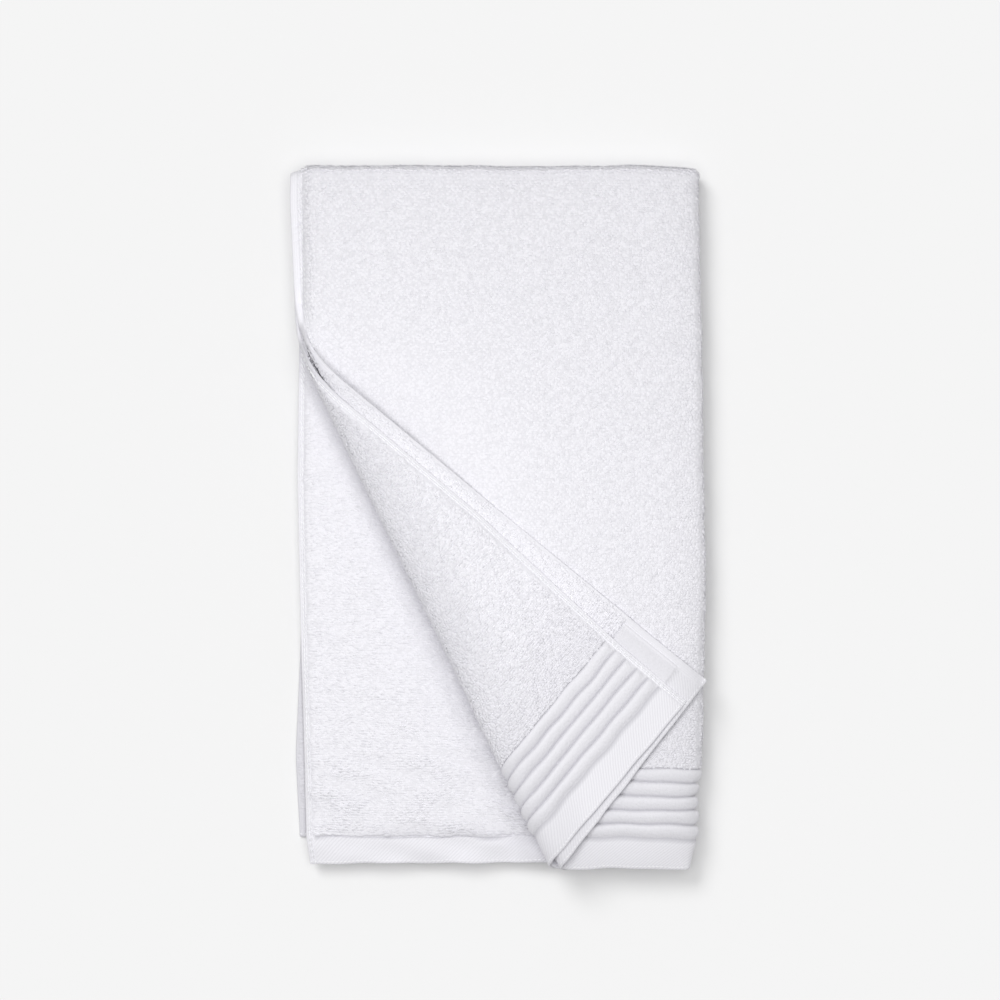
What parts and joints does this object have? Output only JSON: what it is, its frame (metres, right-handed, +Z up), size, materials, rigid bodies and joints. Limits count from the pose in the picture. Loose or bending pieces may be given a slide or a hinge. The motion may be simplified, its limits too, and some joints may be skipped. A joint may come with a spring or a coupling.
{
  "type": "hand towel",
  "caption": "White terry hand towel with a ribbed end band, folded in four layers with one corner of the upper two layers turned back.",
  "frame": {"origin": "middle of the folded towel's bounding box, on the surface that it lies on", "axes": "+X to the lengthwise fold, +Y to the crosswise fold at the far end, +Z up"},
  "size_m": [0.212, 0.3582, 0.0325],
  "materials": {
    "terry": "matte looped cotton pile with woven borders"
  },
  "bodies": {
    "root": {"towel": "terry"}
  },
  "joints": []
}
